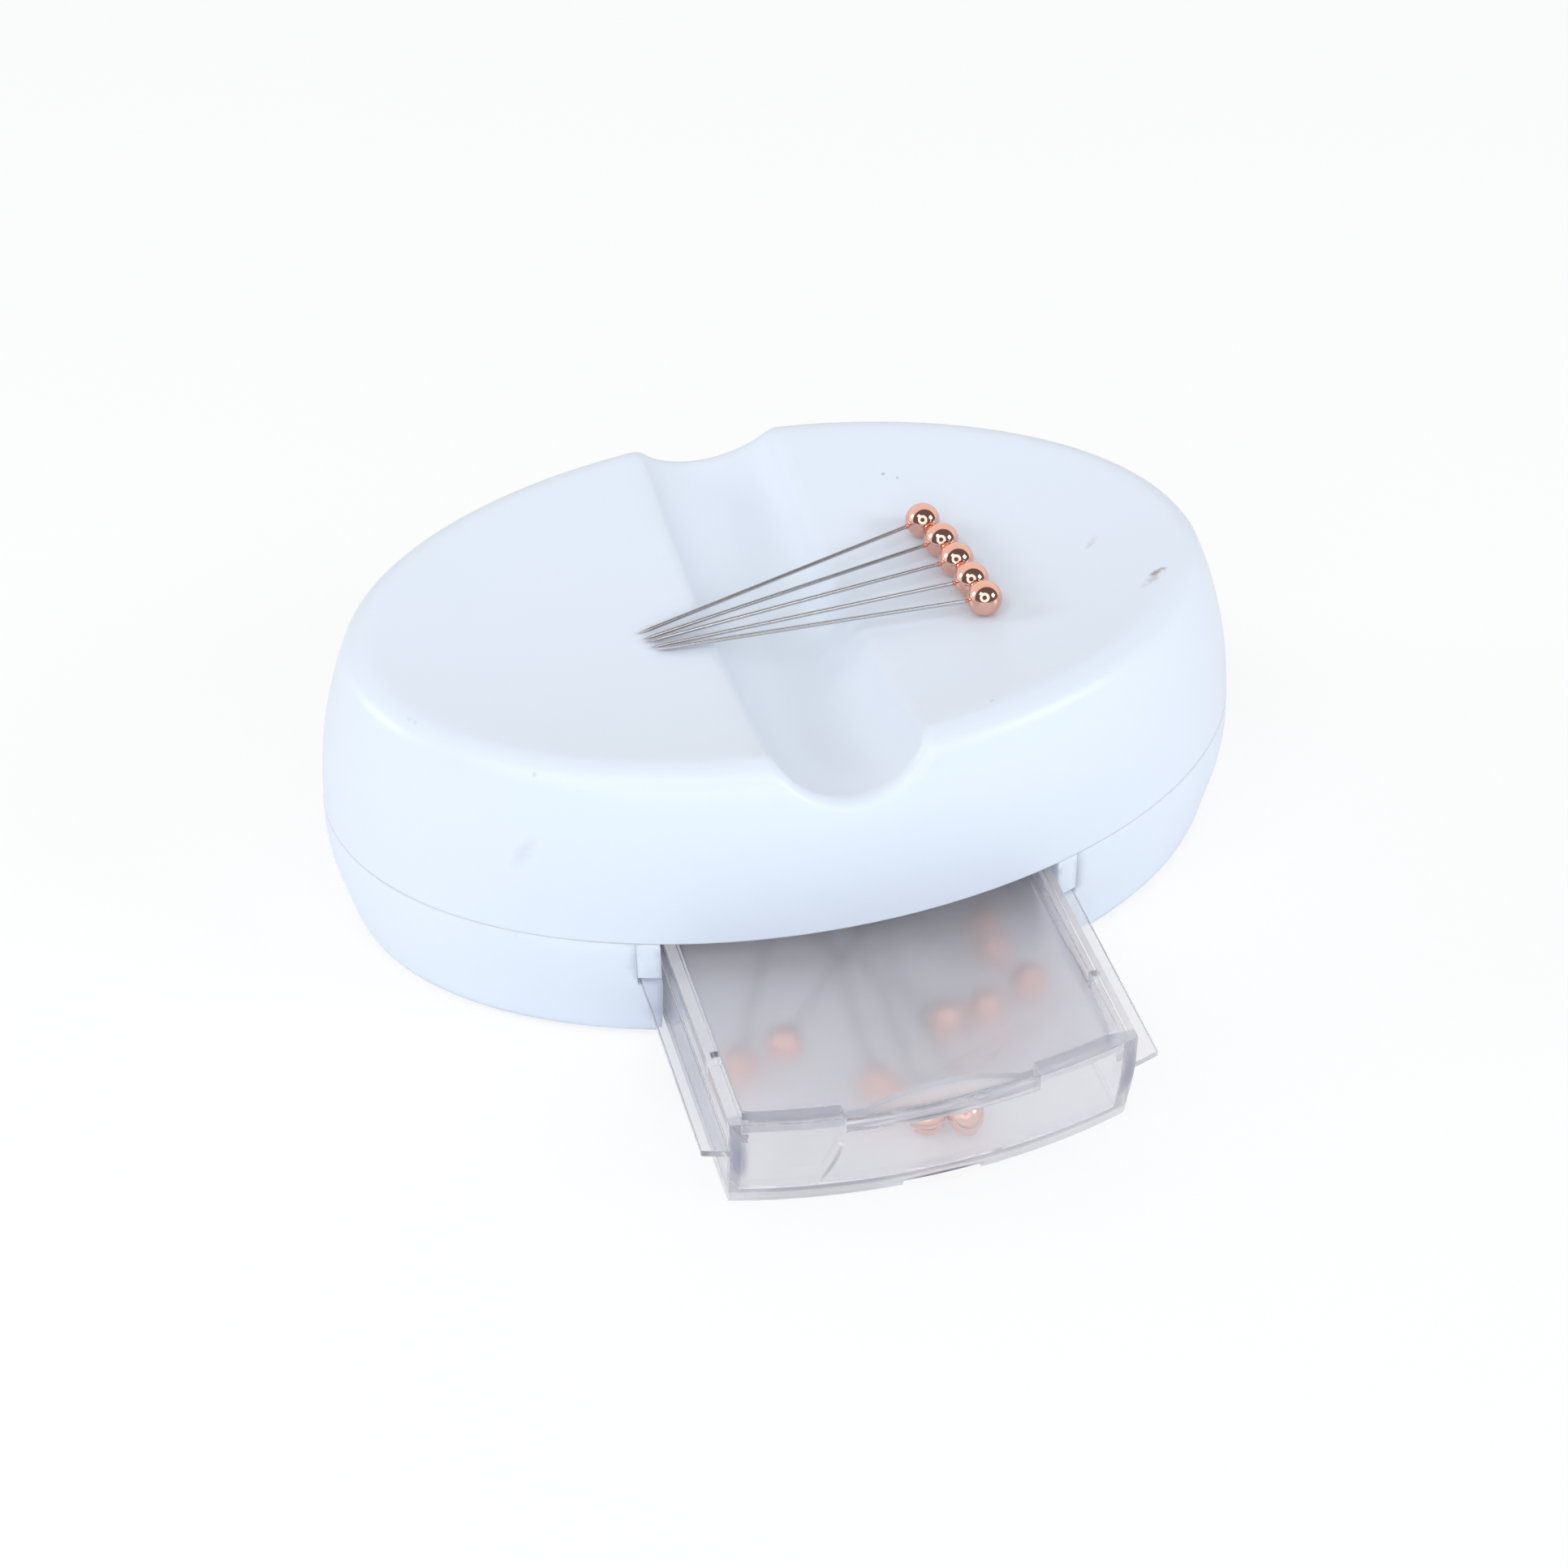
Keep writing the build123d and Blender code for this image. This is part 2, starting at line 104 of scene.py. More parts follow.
class Signal:
    """One output of a shader node. Python's operators on it add Math nodes."""

    def __init__(self, finish, socket):
        self.finish = finish
        self.socket = socket

    def math(self, operation, *values):
        return self.finish.node("ShaderNodeMath", {"operation": operation}, dict(enumerate(values)))

    def __add__(self, other):
        return self.math("ADD", self, other)

    def __radd__(self, other):
        return self.math("ADD", other, self)

    def __sub__(self, other):
        return self.math("SUBTRACT", self, other)

    def __rsub__(self, other):
        return self.math("SUBTRACT", other, self)

    def __mul__(self, other):
        return self.math("MULTIPLY", self, other)

    def __rmul__(self, other):
        return self.math("MULTIPLY", other, self)

    def __abs__(self):
        return self.math("ABSOLUTE", self)

    def or_more(self, other):
        """The larger of two values."""
        return self.math("MAXIMUM", self, other)


class Finish:
    """The shader nodes of one material, or of the world."""

    def __init__(self, owner):
        owner.use_nodes = True
        self.owner = owner
        self.tree = owner.node_tree
        self.tree.nodes.clear()

    def node(self, kind, settings=None, sockets=None, output=0):
        """Adds a node: first its settings, then the values or links of its sockets."""
        made = self.tree.nodes.new(kind)
        for name, value in (settings or {}).items():
            setattr(made, name, value)
        for name, value in (sockets or {}).items():
            if isinstance(value, Signal):
                self.tree.links.new(value.socket, made.inputs[name])
            else:
                made.inputs[name].default_value = value
        if not made.outputs:
            return None
        return Signal(self, made.outputs[output])

    def axis(self, vector, letter):
        """How far a vector goes along X, Y or Z."""
        return self.node("ShaderNodeSeparateXYZ", sockets={0: vector}, output=letter)

    def ray(self, kind):
        """1 for one kind of ray, 0 for every other."""
        return self.node("ShaderNodeLightPath", output=kind)

    def ramp_up(self, value, low, high):
        """0 where the value is below low, 1 where it is above high, smooth between."""
        return self.node(
            "ShaderNodeMapRange",
            {"interpolation_type": "SMOOTHSTEP"},
            {"Value": value, "From Min": low, "From Max": high},
        )

    def noise(self, place, scale, detail=2.0):
        """Cloudy noise between 0 and 1, with this many lumps to a metre."""
        return self.node(
            "ShaderNodeTexNoise", sockets={"Vector": place, "Scale": scale, "Detail": detail}
        )

    def bump(self, strength, depth, pattern):
        """A fine relief in the surface, its depth in millimetres."""
        return self.node(
            "ShaderNodeBump", sockets={"Strength": strength, "Distance": depth * MM, "Height": pattern}
        )

    def matt(self, colour):
        """A surface that scatters light evenly."""
        return self.node("ShaderNodeBsdfDiffuse", sockets={"Color": colour})

    def blend_colours(self, share, first, second):
        """One colour shading into another as share goes from 0 to 1."""
        return self.node(
            "ShaderNodeMix", {"data_type": "RGBA"}, {0: share, 6: first, 7: second}, output=2
        )

    def blend_surfaces(self, share, first, second):
        """One surface giving way to another as share goes from 0 to 1."""
        return self.node("ShaderNodeMixShader", sockets={0: share, 1: first, 2: second})

    def cover(self, surface):
        """Makes this surface the one that the material shows."""
        self.node("ShaderNodeOutputMaterial", sockets={"Surface": surface})


room = Finish(bpy.data.worlds.new("studio"))
bpy.context.scene.world = room.owner
direction = room.node("ShaderNodeTexCoord", output="Generated")
towards_back = room.axis(direction, "Y")
towards_top = room.axis(direction, "Z")
on_sweep = room.ramp_up(towards_back - towards_top * sweep_slope, *sweep_edge)
near_horizon = 1.0 - room.ramp_up(towards_top, *horizon_edge)
mirrored = dim_room_light + on_sweep.or_more(near_horizon) * (sweep_light - dim_room_light)
through_clear = room.ray("Is Transmission Ray")
to_gloss = room.ray("Is Glossy Ray") * (1.0 - through_clear)
seen_direct = room.ray("Is Camera Ray").or_more(through_clear)
tent_strength = tent_light + seen_direct * (1.0 - tent_light) + to_gloss * (mirrored - tent_light)
from_front = room.ramp_up(0.0 - towards_back, *front_edge)
tent_colour = room.blend_colours(from_front, overhead_tint, front_tint)
sky_colour = room.blend_colours(seen_direct, tent_colour, pure_white)
sky = room.node("ShaderNodeBackground", sockets={"Color": sky_colour, "Strength": tent_strength})
room.node("ShaderNodeOutputWorld", sockets={"Surface": sky})

for name, towards, size, power in lamps:
    lamp = bpy.data.lights.new(name, "AREA")
    lamp.shape = "SQUARE"
    lamp.size = size
    lamp.energy = power
    holder = bpy.data.objects.new(name, lamp)
    bpy.context.scene.collection.objects.link(holder)
    outwards = Vector(towards).normalized()
    holder.location = looked_at + outwards * lamp_distance
    holder.rotation_euler = (-outwards).to_track_quat("-Z", "Y").to_euler()
    holder.visible_camera = False

bpy.ops.object.select_all(action="DESELECT")
bpy.ops.mesh.primitive_circle_add(vertices=64, radius=ring_outside, fill_type="NGON")
ring_lamp = bpy.context.object
ring_lamp.name = "ring_lamp"
bpy.ops.object.mode_set(mode="EDIT")
bpy.ops.mesh.select_mode(type="FACE")
bpy.ops.mesh.select_all(action="SELECT")
bpy.ops.mesh.inset(thickness=ring_outside - ring_inside)
bpy.ops.mesh.delete(type="FACE")
bpy.ops.object.mode_set(mode="OBJECT")
ring_lamp.data.transform(back.to_track_quat("Z", "Y").to_matrix().to_4x4())
ring_lamp.data.transform(Matrix.Translation(looked_at + back * ring_distance))
ring_lamp.visible_camera = False
tube = Finish(bpy.data.materials.new("ring_light"))
tube.cover(tube.node("ShaderNodeEmission", sockets={"Color": ring_tint, "Strength": ring_strength}))
ring_lamp.data.materials.append(tube.owner)

# Table: a plain white sweep that takes the soft shadow of the case. The camera sees it mixed
# with even white, as a bright backdrop.
table_size = 6.0
table_white = (0.98, 0.98, 0.985, 1.0)
floor_whiteness = 0.78
bpy.ops.object.select_all(action="DESELECT")
bpy.ops.mesh.primitive_plane_add(size=table_size)
floor = bpy.context.object
floor.name = "floor"
table = Finish(bpy.data.materials.new("white_table"))
plain_white = table.node("ShaderNodeEmission", sockets={"Color": pure_white, "Strength": 1.0})
table_seen = table.ray("Is Camera Ray").or_more(table.ray("Is Transmission Ray"))
table.cover(table.blend_surfaces(table_seen * floor_whiteness, table.matt(table_white), plain_white))
floor.data.materials.append(table.owner)

# Case: lower and upper shell, moulded in pale blue-white plastic with a satin skin, and the
# drawer frame of the same plastic between them. The shells meet in a fine parting line that
# has caught brown dust, and years on a sewing table have left a few smears and specks.
case_seam = 15.61
upper_rim = 15.75
rim_tolerance = 0.01
touching = 0.001
seam_closed = 0.13
seam_dust_span = (0.04 * MM, 0.14 * MM)
seam_dust_depth = 0.4
case_pale = (0.780, 0.838, 0.925, 1.0)
case_cool = (0.765, 0.828, 0.925, 1.0)
dust_brown = (0.40, 0.30, 0.24, 1.0)
smear_brown = (0.33, 0.24, 0.21, 1.0)
# Each mark: its middle, the way it runs, its half sizes in millimetres, and how strong it is.
case_marks = (
    ((-34.3, -24.7, 26.2), (2.9, -0.6, 4.4), (3.6, 1.1, 1.6), 0.16),
    ((41.0, -9.6, 35.2), (2.4, 0.7, 0.3), (1.5, 0.55, 0.8), 1.0),
    ((40.0, -10.7, 35.1), (2.6, 1.4, 0.2), (2.4, 0.7, 0.8), 0.35),
    ((36.4, -0.9, 34.0), (2.2, 2.1, 0.3), (1.7, 0.5, 0.8), 0.22),
    ((-43.2, -11.5, 35.3), (0.8, -1.4, 0.0), (1.0, 0.4, 0.6), 0.22),
    ((18.0, 19.1, 34.0), (1.0, 0.0, 0.0), (0.32, 0.32, 0.5), 0.8),
    ((19.4, 18.0, 33.9), (1.0, 0.0, 0.0), (0.26, 0.26, 0.5), 0.5),
    ((-32.6, -23.0, 34.6), (1.0, 0.0, 0.0), (0.35, 0.35, 0.6), 0.3),
    ((16.0, -26.1, 35.4), (1.0, 0.0, 0.0), (0.35, 0.30, 0.6), 0.3),
    ((-41.7, -20.5, 21.0), (1.0, -1.0, 0.0), (0.5, 0.4, 0.6), 0.2),
    ((-36.6, -25.3, 15.1), (1.0, 0.0, 0.0), (0.34, 0.30, 0.4), 0.45),
)


def select_alone(piece):
    """Selects one piece and nothing else, and makes it the active one."""
    bpy.ops.object.select_all(action="DESELECT")
    piece.select_set(True)
    bpy.context.view_layer.objects.active = piece


def merged_copy(name, new_name):
    """A copy of a CAD node with its loose triangles joined."""
    copy = bpy.data.objects.new(new_name, nodes[name].data.copy())
    bpy.context.scene.collection.objects.link(copy)
    copy.data.materials.clear()
    select_alone(copy)
    bpy.ops.object.mode_set(mode="EDIT")
    bpy.ops.mesh.select_all(action="SELECT")
    bpy.ops.mesh.remove_doubles(threshold=touching * MM)
    bpy.ops.object.mode_set(mode="OBJECT")
    return copy


def smooth_up_to(piece, degrees):
    """Smooth shading over every edge that turns by less than this."""
    select_alone(piece)
    bpy.ops.object.shade_smooth_by_angle(angle=math.radians(degrees))


def close_seam(piece):
    """Brings the upper shell's rim down until only a hairline shows above the lower shell."""
    bpy.ops.object.mode_set(mode="EDIT")
    bpy.ops.mesh.select_mode(type="VERT")
    bpy.ops.mesh.select_all(action="DESELECT")
    bpy.ops.object.mode_set(mode="OBJECT")
    for vertex in piece.data.vertices:
        vertex.select = abs(vertex.co.z - upper_rim * MM) < rim_tolerance * MM
    for edge in piece.data.edges:
        on_rim = [piece.data.vertices[index].select for index in edge.vertices]
        edge.use_edge_sharp = edge.use_edge_sharp or all(on_rim)
    bpy.ops.object.mode_set(mode="EDIT")
    bpy.ops.transform.translate(value=(0.0, 0.0, -seam_closed * MM))
    bpy.ops.object.mode_set(mode="OBJECT")


def mark(finish, place, centre, along, half_sizes):
    """A soft oval spot: 1 in its middle, 0 outside, long in one direction."""
    local = finish.node(
        "ShaderNodeMapping",
        {"vector_type": "TEXTURE"},
        {
            "Vector": place,
            "Location": Vector(centre) * MM,
            "Rotation": Vector(along).to_track_quat("X", "Z").to_euler(),
            "Scale": Vector(half_sizes) * MM,
        },
    )
    distance = finish.node("ShaderNodeVectorMath", {"operation": "LENGTH"}, {0: local}, output="Value")
    return 1.0 - finish.ramp_up(distance, low=0.25, high=1.0)


def marks_over(finish, place, marks):
    """All of some marks together."""
    total = 0.0
    for centre, along, half_sizes, depth in marks:
        total = total + mark(finish, place, centre, along, half_sizes) * depth
    return total


def cover_solid(finish, colour, roughness, relief, metallic=0.0):
    """Covers a piece that light doesn't pass."""
    skin = finish.node(
        "ShaderNodeBsdfPrincipled",
        sockets={"Base Color": colour, "Roughness": roughness, "Metallic": metallic, "Normal": relief},
    )
    finish.cover(skin)


case = Finish(bpy.data.materials.new("case_plastic"))
case_place = case.node("ShaderNodeTexCoord", output="Object")
case_clouds = case.noise(case_place, scale=60.0, detail=3.0)
case_grain = case.noise(case_place, scale=2600.0)
case_streaks = case.noise(case_place, scale=900.0, detail=4.0)
from_seam = abs(case.axis(case_place, "Z") - case_seam * MM)
dust_gaps = case.ramp_up(case_clouds, low=0.15, high=0.6)
seam_dust = (1.0 - case.ramp_up(from_seam, *seam_dust_span)) * dust_gaps
smears = marks_over(case, case_place, case_marks) * case.ramp_up(case_streaks, low=0.3, high=0.6)
case_colour = case.blend_colours(case_clouds, case_pale, case_cool)
case_colour = case.blend_colours(seam_dust * seam_dust_depth, case_colour, dust_brown)
case_colour = case.blend_colours(smears, case_colour, smear_brown)
cover_solid(
    case,
    case_colour,
    roughness=0.32 + 0.08 * case_clouds + 0.3 * seam_dust,
    relief=case.bump(strength=0.06, depth=0.05, pattern=case_grain),
)
for name in ("lower_shell", "drawer_frame", "upper_shell"):
    moulding = merged_copy(name, name + "_moulding")
    smooth_up_to(moulding, degrees=35)
    if name == "upper_shell":
        close_seam(moulding)
    moulding.data.materials.append(case.owner)
    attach(moulding, "case")
    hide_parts(name)

# Rubber feet: four soft grey buttons glued into the recesses over the shell screws,
# with a dull skin that has picked up lint.
rubber_grey = (0.16, 0.16, 0.17, 1.0)
lint_grey = (0.30, 0.30, 0.31, 1.0)


def dress(names, finish):
    """Gives CAD nodes that are shown as they are their finish."""
    for name in names:
        nodes[name].data.materials.clear()
        nodes[name].data.materials.append(finish.owner)


rubber = Finish(bpy.data.materials.new("foot_rubber"))
rubber_place = rubber.node("ShaderNodeTexCoord", output="Object")
rubber_lint = rubber.ramp_up(rubber.noise(rubber_place, scale=1400.0, detail=4.0), low=0.55, high=0.75)
cover_solid(
    rubber,
    rubber.blend_colours(rubber_lint, rubber_grey, lint_grey),
    roughness=0.75 + 0.15 * rubber_lint,
    relief=rubber.bump(strength=0.3, depth=0.05, pattern=rubber.noise(rubber_place, scale=4000.0)),
)
dress([f"rubber_foot_{number}" for number in range(1, 5)], rubber)

# Screws: zinc-plated pan-head screws, four through the lower shell, four in the drawer frame
# and four in the magnet carrier, with fine turning marks and dull patches in the plating.
zinc_bright = (0.62, 0.63, 0.66, 1.0)
zinc_dull = (0.50, 0.50, 0.52, 1.0)
zinc = Finish(bpy.data.materials.new("screw_steel"))
zinc_place = zinc.node("ShaderNodeTexCoord", output="Object")
zinc_clouds = zinc.noise(zinc_place, scale=900.0, detail=3.0)
cover_solid(
    zinc,
    zinc.blend_colours(zinc_clouds, zinc_bright, zinc_dull),
    roughness=0.25 + 0.2 * zinc_clouds,
    relief=zinc.bump(strength=0.2, depth=0.02, pattern=zinc.noise(zinc_place, scale=6000.0)),
    metallic=1.0,
)
dress(("shell_screws", "frame_screws", "carrier_screws"), zinc)

# Magnet carrier: the plate of the same white plastic, unpolished, that holds both magnets
# up against the underside of the dish.
inner_pale = (0.74, 0.78, 0.84, 1.0)
inner_shaded = (0.69, 0.73, 0.80, 1.0)
inner = Finish(bpy.data.materials.new("inner_plastic"))
inner_place = inner.node("ShaderNodeTexCoord", output="Object")
inner_clouds = inner.noise(inner_place, scale=120.0, detail=3.0)
cover_solid(
    inner,
    inner.blend_colours(inner_clouds, inner_pale, inner_shaded),
    roughness=0.5 + 0.1 * inner_clouds,
    relief=inner.bump(strength=0.15, depth=0.05, pattern=inner.noise(inner_place, scale=2200.0)),
)
dress(("magnet_carrier",), inner)

# Magnets: two pressed and ground ferrite blocks, near black and slightly porous,
# laid in the carrier's fences.
ferrite_black = (0.035, 0.034, 0.036, 1.0)
ferrite_grey = (0.07, 0.07, 0.075, 1.0)
ceramic = Finish(bpy.data.materials.new("ferrite"))
ceramic_place = ceramic.node("ShaderNodeTexCoord", output="Object")
ceramic_clouds = ceramic.noise(ceramic_place, scale=500.0, detail=4.0)
ceramic_pores = ceramic.ramp_up(ceramic.noise(ceramic_place, scale=3500.0), low=0.30, high=0.42)
cover_solid(
    ceramic,
    ceramic.blend_colours(ceramic_clouds, ferrite_black, ferrite_grey),
    roughness=0.65 - 0.15 * ceramic_clouds,
    relief=ceramic.bump(strength=0.4, depth=0.05, pattern=ceramic_pores),
)
dress(("magnet_left", "magnet_right"), ceramic)

# Magnet pads: die-cut sheets of open grey foam, laid on top of each magnet. Squeezed between
# it and its seat under the dish, they keep it from rattling.
foam_dark = (0.10, 0.10, 0.11, 1.0)
foam_light = (0.26, 0.26, 0.28, 1.0)
foam_cells = 1800.0
foam = Finish(bpy.data.materials.new("foam"))
foam_place = foam.node("ShaderNodeTexCoord", output="Object")
foam_holes = foam.node(
    "ShaderNodeTexVoronoi", sockets={"Vector": foam_place, "Scale": foam_cells}, output="Distance"
)
cover_solid(
    foam,
    foam.blend_colours(foam_holes, foam_dark, foam_light),
    roughness=0.95,
    relief=foam.bump(strength=0.8, depth=0.2, pattern=foam_holes),
)
dress(("magnet_pad_left", "magnet_pad_right"), foam)

# Drawer tray: a smoke-clear moulding with thin side rails, its front wall part of the oval.
# Its front has a hair scratch and two pale spots. Painted shade darkens its left wall, its front
# ends, its top edge and the nail recess, and painted light lifts the corners at the lid's ear slots.
broken_edge = 0.12
clear_ior = 1.52
clear_tint = (0.955, 0.95, 0.96, 1.0)
# Painted shade: the left side wall's glass is tinted darker than the rest of the tray.
left_wall_shade_tint = (0.82, 0.83, 0.86, 1.0)
# Painted shade: the grey of the dark bands laid on the clear walls.
painted_shade_grey = (0.31, 0.32, 0.39, 1.0)
haze_colour = (0.885, 0.86, 0.87, 1.0)
dark_mark_and_shade_colour = (0.16, 0.13, 0.15, 1.0)
clear_shade = (0.90, 0.90, 0.92, 1.0)
floor_span = (2.4 * MM, 3.0 * MM)
left_wall_span = (-20.2 * MM, -19.4 * MM)
width_span = (-14.0 * MM, 18.0 * MM)
# Painted shade along the front wall's top edge: its heights, the front wall's reach, and how dark it is.
top_edge_span = (14.25 * MM, 14.35 * MM)
front_wall_span = (-57.0 * MM, -56.4 * MM)
top_edge_shade_depth = 0.36
# Pale patches: two pale spots on the front by the scratch, and painted light over the dark corners at the
# lid's ear slots in both side walls.
pale_spots_and_painted_light = (
    ((-10.7, -59.9, 10.7), (1.0, 0.0, 1.0), (0.55, 0.4, 0.9), 0.5),
    ((-14.6, -58.8, 8.1), (1.0, -0.2, 0.1), (2.6, 0.30, 0.9), 0.4),
    ((-20.6, -47.8, 12.8), (0.0, 1.0, 0.0), (0.9, 0.9, 1.5), 0.6),
    ((20.6, -47.8, 12.8), (0.0, 1.0, 0.0), (0.9, 0.9, 1.5), 0.6),
)
# Dark marks: a hair scratch on the front, painted shade along the nail recess under the front edge, and a
# small dark spot to its right.
dark_marks_and_painted_shade = (
    ((-11.6, -59.3, 7.6), (-1.9, 1.5, -6.9), (4.6, 0.22, 0.9), 0.4),
    ((0.6, -59.2, 1.85), (1.0, 0.0, 0.0), (5.6, 1.6, 0.65), 0.8),
    ((6.3, -59.2, 3.6), (1.0, 0.4, 0.2), (1.2, 0.4, 0.4), 0.3),
)
# Painted shade: grey bands down both front ends of the tray and along the notch under its top edge, where
# the clear walls look dark.
painted_shade_bands = (
    ((-20.9, -57.9, 7.6), (0.0, 0.0, 1.0), (9.0, 1.2, 1.2), 0.7),
    ((20.9, -57.9, 7.6), (0.0, 0.0, 1.0), (9.0, 1.2, 1.2), 0.7),
    ((0.0, -59.3, 12.4), (1.0, 0.0, 0.0), (14.0, 2.0, 0.5), 0.3),
)


def clear_moulding(name, new_name):
    """A CAD node's copy with flat faces joined up and every sharp edge broken a little."""
    piece = merged_copy(name, new_name)
    bpy.ops.object.mode_set(mode="EDIT")
    bpy.ops.mesh.select_all(action="SELECT")
    bpy.ops.mesh.dissolve_limited(angle_limit=math.radians(0.5))
    bpy.ops.object.mode_set(mode="OBJECT")
    smooth_up_to(piece, degrees=20)
    breaks = piece.modifiers.new("breaks", "BEVEL")
    breaks.width = broken_edge * MM
    breaks.segments = 2
    breaks.limit_method = "ANGLE"
    breaks.angle_limit = math.radians(40)
    breaks.harden_normals = True
    bpy.ops.object.modifier_apply(modifier="breaks")
    return piece


def clear_surface(finish, tint, roughness, shade, haze, **others):
    """Slightly hazy clear plastic that bends what is seen through it and lets soft light in."""
    bending = finish.node(
        "ShaderNodeBsdfPrincipled",
        sockets={
            "Base Color": tint,
            "Roughness": roughness,
            "IOR": clear_ior,
            "Transmission Weight": 1.0,
            **others,
        },
    )
    hazy = finish.blend_surfaces(haze, bending, finish.matt(haze_colour))
    straight = finish.node("ShaderNodeBsdfTransparent", sockets={"Color": shade})
    lets_through = finish.ray("Is Shadow Ray").or_more(finish.ray("Is Diffuse Ray"))
    return finish.blend_surfaces(lets_through, hazy, straight)


clear = Finish(bpy.data.materials.new("clear_plastic"))
clear_place = clear.node("ShaderNodeTexCoord", output="Object")
clear_across = clear.axis(clear_place, "X")
clear_along = clear.axis(clear_place, "Y")
clear_height = clear.axis(clear_place, "Z")
pale_and_lit = marks_over(clear, clear_place, pale_spots_and_painted_light)
dark_marked_and_shaded = marks_over(clear, clear_place, dark_marks_and_painted_shade)
painted_bands = marks_over(clear, clear_place, painted_shade_bands)
in_floor = 1.0 - clear.ramp_up(clear_height, *floor_span)
to_right = clear.ramp_up(clear_across, *width_span)
left_side = 1.0 - clear.ramp_up(clear_across, *left_wall_span)
in_front_wall = 1.0 - clear.ramp_up(clear_along, *front_wall_span)
top_edge_painted_shade = clear.ramp_up(clear_height, *top_edge_span) * in_front_wall
# The darker tint on the left wall is painted shade.
clean_surface = clear_surface(
    clear,
    tint=clear.blend_colours(left_side, clear_tint, left_wall_shade_tint),
    roughness=0.015 + 0.02 * clear.noise(clear_place, scale=80.0),
    shade=clear_shade,
    haze=0.06 + 0.16 * to_right + 0.40 * in_floor,
)
# The pale spots and the painted light, in the matt haze colour.
pale_spotted_surface = clear.blend_surfaces(pale_and_lit, clean_surface, clear.matt(haze_colour))
# Painted shade: the grey bands, and a grey band along the front wall's top edge.
painted_shade_surface = clear.blend_surfaces(
    painted_bands.or_more(top_edge_painted_shade * top_edge_shade_depth), pale_spotted_surface, clear.matt(painted_shade_grey)
)
# The scratch, the painted shade at the nail recess and the dark spot go on last.
clear.cover(clear.blend_surfaces(dark_marked_and_shaded, painted_shade_surface, clear.matt(dark_mark_and_shade_colour)))
tray = clear_moulding("drawer_tray", "tray_moulding")
tray.data.materials.append(clear.owner)
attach(tray, "drawer")
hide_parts("drawer_tray")

# Pins: steel shanks ground to a point and pressed into plated, polished rose-coloured balls
# with a small collar. Five lie across the groove and ten in the drawer.
ball_radius = 1.98
collar_degrees = 9
collar_length = 0.25
collar_flare = (1.3, 1.3, 0.2)
shank_radius = 0.25
pin_reach = 36.62
point_length = 1.6
# Each step of the point: its share of the length, and its far end's width against its near end's.
point_steps = ((0.45, 0.72), (0.35, 0.52), (0.20, 0.30))
rose_pale = (0.86, 0.50, 0.40, 1.0)
rose_deep = (0.82, 0.46, 0.37, 1.0)
steel_bright = (0.60, 0.59, 0.61, 1.0)
steel_dull = (0.48, 0.46, 0.48, 1.0)


def pick_faces_above(piece, height):
    """Goes into edit mode with only the faces selected whose middle is above a height."""
    bpy.ops.object.mode_set(mode="EDIT")
    bpy.ops.mesh.select_mode(type="FACE")
    bpy.ops.mesh.select_all(action="DESELECT")
    bpy.ops.object.mode_set(mode="OBJECT")
    for polygon in piece.data.polygons:
        polygon.select = polygon.center.z > height
    bpy.ops.object.mode_set(mode="EDIT")


def push_out(length, widening):
    """Extrudes the selected faces upwards and widens or narrows their new end."""
    bpy.ops.mesh.extrude_region_move(TRANSFORM_OT_translate={"value": (0.0, 0.0, length * MM)})
    bpy.ops.transform.resize(value=widening)


bpy.ops.object.select_all(action="DESELECT")
bpy.ops.mesh.primitive_uv_sphere_add(segments=48, ring_count=24, radius=ball_radius * MM)
ball_pattern = bpy.context.object
pick_faces_above(ball_pattern, ball_radius * math.cos(math.radians(collar_degrees)) * MM)
push_out(collar_length, collar_flare)
bpy.ops.object.mode_set(mode="OBJECT")

bpy.ops.object.select_all(action="DESELECT")
straight_length = (pin_reach - point_length) * MM
bpy.ops.mesh.primitive_cylinder_add(
    vertices=20, radius=shank_radius * MM, depth=straight_length, location=(0.0, 0.0, straight_length / 2)
)
shank_pattern = bpy.context.object
bpy.ops.object.transform_apply(location=True)
pick_faces_above(shank_pattern, straight_length - touching * MM)
for share, width in point_steps:
    push_out(point_length * share, (width, width, 1.0))
bpy.ops.object.mode_set(mode="OBJECT")

rose = Finish(bpy.data.materials.new("rose_metal"))
rose_place = rose.node("ShaderNodeTexCoord", output="Object")
rose_clouds = rose.noise(rose_place, scale=700.0, detail=3.0)
cover_solid(
    rose,
    rose.blend_colours(rose_clouds, rose_pale, rose_deep),
    roughness=0.05 + 0.06 * rose_clouds,
    relief=rose.bump(strength=0.03, depth=0.02, pattern=rose.noise(rose_place, scale=3500.0)),
    metallic=1.0,
)
steel = Finish(bpy.data.materials.new("pin_steel"))
steel_place = steel.node("ShaderNodeTexCoord", output="Object")
steel_marks = steel.noise(steel_place, scale=3000.0, detail=3.0)
cover_solid(
    steel,
    steel.blend_colours(steel_marks, steel_bright, steel_dull),
    roughness=0.16 + 0.14 * steel_marks,
    relief=steel.bump(strength=0.25, depth=0.02, pattern=steel_marks),
    metallic=1.0,
)


def solids_of(name):
    """The corner points of each separate solid of a CAD node."""
    merged_copy(name, "measured")
    bpy.ops.object.mode_set(mode="EDIT")
    bpy.ops.mesh.select_all(action="SELECT")
    bpy.ops.mesh.separate(type="LOOSE")
    bpy.ops.object.mode_set(mode="OBJECT")
    found = []
    for part in list(bpy.context.selected_objects):
        found.append([vertex.co.copy() for vertex in part.data.vertices])
        bpy.data.objects.remove(part)
    return found


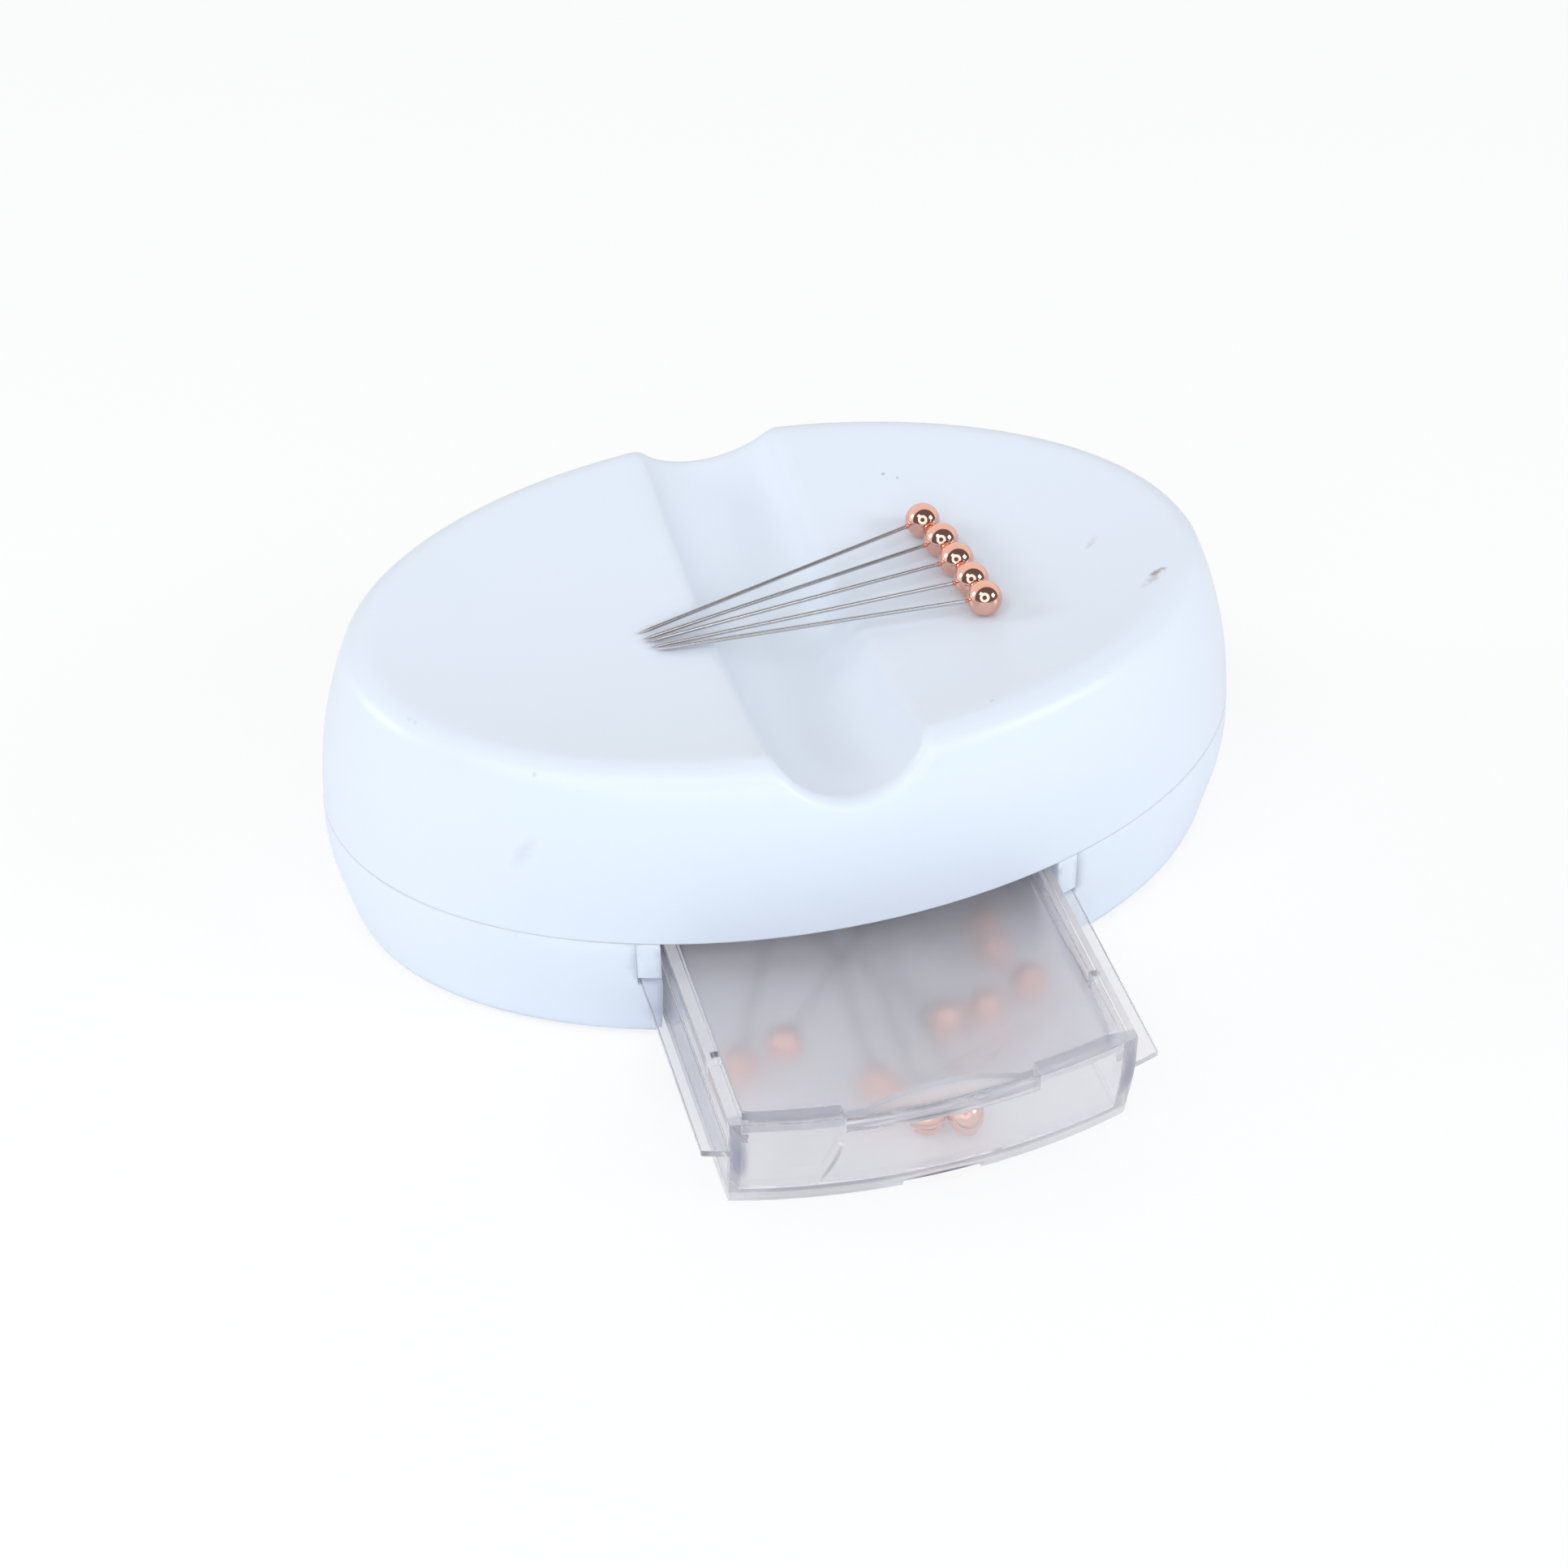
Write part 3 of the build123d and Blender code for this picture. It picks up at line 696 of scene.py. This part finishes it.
def middle_of(points):
    """The middle of the box round some points."""
    low = Vector([min(point[axis] for point in points) for axis in range(3)])
    high = Vector([max(point[axis] for point in points) for axis in range(3)])
    return (low + high) / 2


def pin_places(head_node, shank_node):
    """Where each pin's head and tip lie, read from its CAD solids."""
    places = []
    shanks = solids_of(shank_node)
    for head in solids_of(head_node):
        start = middle_of(head)
        shank = min(shanks, key=lambda points: min((point - start).length for point in points))
        tip = max(shank, key=lambda point: (point - start).length)
        places.append((start, tip))
    return places


def lay_pattern(pattern, name, places, finish, body, node):
    """Copies of a pin's ball or shank laid from each head towards each tip, as one piece."""
    laid = []
    for start, tip in places:
        part = bpy.data.objects.new(name, pattern.data.copy())
        bpy.context.scene.collection.objects.link(part)
        part.data.transform((tip - start).to_track_quat("Z", "Y").to_matrix().to_4x4())
        part.data.transform(Matrix.Translation(start))
        laid.append(part)
    select_alone(laid[0])
    for part in laid:
        part.select_set(True)
    if len(laid) > 1:
        bpy.ops.object.join()
    piece = bpy.context.view_layer.objects.active
    smooth_up_to(piece, degrees=40)
    piece.data.materials.clear()
    piece.data.materials.append(finish.owner)
    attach(piece, body)
    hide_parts(node)


for number in range(1, 6):
    body = f"pin_{number}"
    places = pin_places(body + "_head", body + "_shank")
    lay_pattern(ball_pattern, body + "_ball", places, rose, body, body + "_head")
    lay_pattern(shank_pattern, body + "_needle", places, steel, body, body + "_shank")
places = pin_places("drawer_pin_heads", "drawer_pin_shanks")
lay_pattern(ball_pattern, "drawer_balls", places, rose, "drawer", "drawer_pin_heads")
lay_pattern(shank_pattern, "drawer_needles", places, steel, "drawer", "drawer_pin_shanks")
bpy.data.objects.remove(ball_pattern)
bpy.data.objects.remove(shank_pattern)

# Drawer lid: a panel of the same plastic with a frosted skin, snapped in below the tray's
# edge. A shallow scoop in its front edge gives a finger room to lift it.
frosted_tint = (0.93, 0.935, 0.965, 1.0)
frosted_shade = (0.86, 0.86, 0.88, 1.0)
# The scoop's middle, the way it runs, and its half sizes in millimetres.
scoop_place = ((0.8, -57.4, 12.6), (1.0, 0.0, 0.0), (9.5, 1.9, 1.0))
frosted = Finish(bpy.data.materials.new("frosted_plastic"))
frosted_place = frosted.node("ShaderNodeTexCoord", output="Object")
frost_clouds = frosted.noise(frosted_place, scale=150.0, detail=3.0)
frost_grain = frosted.noise(frosted_place, scale=5000.0)
scooped = mark(frosted, frosted_place, *scoop_place)
frosted_surface = clear_surface(
    frosted,
    tint=frosted_tint,
    roughness=0.28 + 0.06 * frost_clouds,
    shade=frosted_shade,
    haze=0.10 + 0.04 * frost_clouds + 0.3 * scooped,
    Normal=frosted.bump(strength=0.1, depth=0.05, pattern=frost_grain),
)
frosted.cover(frosted_surface)
lid = clear_moulding("drawer_lid", "lid_panel")
lid.data.materials.append(frosted.owner)
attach(lid, "drawer")
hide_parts("drawer_lid")
